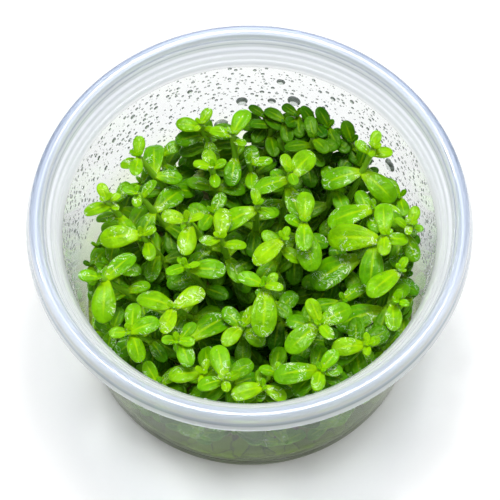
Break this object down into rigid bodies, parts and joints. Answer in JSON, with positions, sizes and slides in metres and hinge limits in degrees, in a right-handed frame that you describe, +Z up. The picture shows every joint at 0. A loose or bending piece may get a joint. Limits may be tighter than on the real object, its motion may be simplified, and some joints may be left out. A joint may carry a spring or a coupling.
{
  "type": "tissue culture bacopa",
  "caption": "Bacopa plants grown from tissue culture, standing dense in pale gel in a round clear plastic cup with a rolled rim, open at the top.",
  "frame": {"origin": "centre of the cup's foot, on the surface it stands on", "axes": "+Z up through the open mouth of the cup; the picture is taken from the -Y side, with +X to its right"},
  "size_m": [0.102, 0.102, 0.0575],
  "materials": {
    "clear_plastic": "gloss",
    "culture_gel": "satin",
    "plant": "gloss"
  },
  "bodies": {
    "root": {"cup": "clear_plastic", "culture_gel": "culture_gel", "bacopa_shoot_01": "plant", "bacopa_shoot_02": "plant", "bacopa_shoot_03": "plant", "bacopa_shoot_04": "plant", "bacopa_shoot_05": "plant", "bacopa_shoot_06": "plant", "bacopa_shoot_07": "plant", "bacopa_shoot_08": "plant", "bacopa_shoot_09": "plant", "bacopa_shoot_10": "plant", "bacopa_shoot_11": "plant", "bacopa_shoot_12": "plant", "bacopa_shoot_13": "plant", "bacopa_shoot_14": "plant", "bacopa_shoot_15": "plant", "bacopa_shoot_16": "plant", "bacopa_shoot_17": "plant", "bacopa_shoot_18": "plant", "bacopa_shoot_19": "plant", "bacopa_shoot_20": "plant", "bacopa_shoot_21": "plant", "bacopa_shoot_22": "plant", "bacopa_shoot_23": "plant", "bacopa_shoot_24": "plant", "bacopa_shoot_25": "plant", "bacopa_shoot_26": "plant", "bacopa_shoot_27": "plant", "bacopa_shoot_28": "plant", "bacopa_shoot_29": "plant", "bacopa_shoot_30": "plant", "bacopa_shoot_31": "plant", "bacopa_shoot_32": "plant", "bacopa_shoot_33": "plant", "bacopa_shoot_34": "plant", "bacopa_shoot_35": "plant", "bacopa_shoot_36": "plant", "bacopa_shoot_37": "plant", "bacopa_shoot_38": "plant", "bacopa_shoot_39": "plant", "bacopa_shoot_40": "plant", "bacopa_shoot_41": "plant", "bacopa_shoot_42": "plant", "bacopa_shoot_43": "plant", "bacopa_shoot_44": "plant", "bacopa_shoot_45": "plant", "bacopa_shoot_46": "plant", "bacopa_shoot_47": "plant", "bacopa_shoot_48": "plant", "bacopa_shoot_49": "plant", "bacopa_shoot_50": "plant", "bacopa_shoot_51": "plant", "bacopa_shoot_52": "plant", "bacopa_shoot_53": "plant", "bacopa_shoot_54": "plant", "bacopa_shoot_55": "plant", "bacopa_shoot_56": "plant"}
  },
  "joints": []
}
